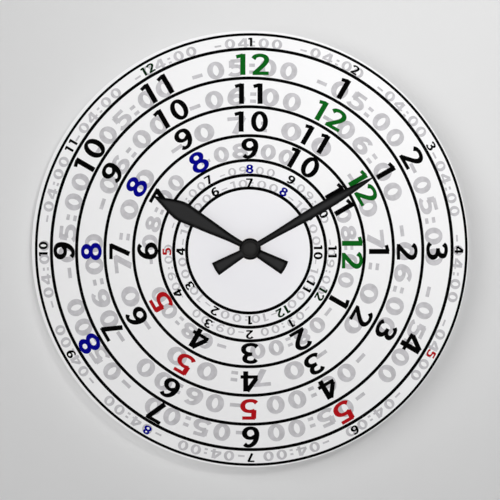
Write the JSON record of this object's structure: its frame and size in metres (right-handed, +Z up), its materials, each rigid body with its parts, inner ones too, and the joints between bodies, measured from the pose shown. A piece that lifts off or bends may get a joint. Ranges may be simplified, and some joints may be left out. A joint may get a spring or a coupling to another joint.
{
  "type": "world time wall clock",
  "caption": "Frameless round wall clock: printed disc with rings of hour numbers, two leaf-shaped hands and a battery quartz movement with meshed gears behind.",
  "frame": {"origin": "centre of the hanging hole at its mouth, on the wall plane", "axes": "+Z up, +Y out of the back towards the wall, -Y out of the dial"},
  "size_m": [0.273, 0.0288, 0.273],
  "materials": {
    "printed_acrylic": "glossy white acrylic, printed on its face",
    "rubber_black": "matt",
    "plain_brass": "bright turned",
    "black_painted_aluminium": "satin black paint",
    "black_cap": "satin black",
    "case_black": "fine moulded texture",
    "gear_white": "natural acetal",
    "gear_amber": "amber acetal",
    "gear_black": "black acetal",
    "magnet_grey": "sintered ferrite",
    "stator_steel": "rolled sheet",
    "bobbin_plastic": "moulded",
    "copper_wire": "enamelled copper winding",
    "board_laminate": "phenolic laminate",
    "chip_resin": "black resin",
    "crystal_can": "drawn can",
    "contact_nickel": "nickel-plated strip",
    "cell_sleeve": "plain printed sleeve"
  },
  "bodies": {
    "clock": {"dial_disc": "printed_acrylic", "rubber_gasket": "rubber_black", "brass_washer": "plain_brass", "hex_nut": "plain_brass", "front_case": "case_black", "rear_cover": "case_black", "middle_plate": "gear_white", "stator": "stator_steel", "coil_core": "stator_steel", "coil_bobbin": "bobbin_plastic", "coil_winding": "copper_wire", "circuit_board": "board_laminate", "chip_dome": "chip_resin", "quartz_crystal": "crystal_can", "positive_contact": "contact_nickel", "negative_contact": "contact_nickel"},
    "minute_set": {"minute_hand": "black_painted_aluminium", "hand_cap": "black_cap", "minute_arbor": "gear_white"},
    "hour_set": {"hour_hand": "black_painted_aluminium", "hour_wheel": "gear_white"},
    "transmission": {"transmission_wheel": "gear_white"},
    "knob_set": {"setting_knob": "gear_black", "setting_gear": "gear_white"},
    "rotor": {"rotor_magnet": "magnet_grey", "rotor_pinion": "gear_white"},
    "fifth": {"fifth_wheel": "gear_white"},
    "second": {"second_wheel": "gear_amber"},
    "third": {"third_wheel": "gear_white"},
    "minute_drive": {"minute_wheel": "gear_amber"},
    "battery": {"aa_battery": "cell_sleeve"}
  },
  "joints": [
    {"name": "minute_hand_spin", "type": "hinge", "parent": "clock", "child": "minute_set", "pos_m": [0, -0.0103, -0.035], "axis": [0, 1, 0], "continuous": true},
    {"name": "hour_hand_spin", "type": "hinge", "parent": "clock", "child": "hour_set", "pos_m": [0, -0.0103, -0.035], "axis": [0, 1, 0], "continuous": true},
    {"name": "transmission_spin", "type": "hinge", "parent": "clock", "child": "transmission", "pos_m": [-0.00831, -0.0103, -0.0302], "axis": [0, 1, 0], "continuous": true},
    {"name": "setting_knob_spin", "type": "hinge", "parent": "clock", "child": "knob_set", "pos_m": [-0.01595, -0.0103, -0.02256], "axis": [0, 1, 0], "continuous": true},
    {"name": "rotor_spin", "type": "hinge", "parent": "clock", "child": "rotor", "pos_m": [0.01686, -0.0103, -0.03203], "axis": [0, 1, 0], "continuous": true},
    {"name": "fifth_wheel_spin", "type": "hinge", "parent": "clock", "child": "fifth", "pos_m": [0.01024, -0.0103, -0.03319], "axis": [0, 1, 0], "continuous": true},
    {"name": "second_wheel_spin", "type": "hinge", "parent": "clock", "child": "second", "pos_m": [0, -0.0103, -0.035], "axis": [0, 1, 0], "continuous": true},
    {"name": "third_wheel_spin", "type": "hinge", "parent": "clock", "child": "third", "pos_m": [-0.00177, -0.0103, -0.02496], "axis": [0, 1, 0], "continuous": true},
    {"name": "minute_wheel_spin", "type": "hinge", "parent": "clock", "child": "minute_drive", "pos_m": [0, -0.0103, -0.035], "axis": [0, 1, 0], "continuous": true},
    {"name": "battery_slide", "type": "slide", "parent": "clock", "child": "battery", "axis": [0, 1, 0], "range_m": [0, 0.03]}
  ],
  "couplings": [
    {"joint": "hour_hand_spin", "follows": "minute_hand_spin", "ratio": 0.083333},
    {"joint": "transmission_spin", "follows": "minute_hand_spin", "ratio": -0.33333},
    {"joint": "setting_knob_spin", "follows": "minute_hand_spin", "ratio": 0.66667},
    {"joint": "fifth_wheel_spin", "follows": "rotor_spin", "ratio": -0.16667},
    {"joint": "second_wheel_spin", "follows": "rotor_spin", "ratio": 0.033333},
    {"joint": "third_wheel_spin", "follows": "rotor_spin", "ratio": -0.0044444},
    {"joint": "minute_wheel_spin", "follows": "rotor_spin", "ratio": 0.00055556}
  ]
}
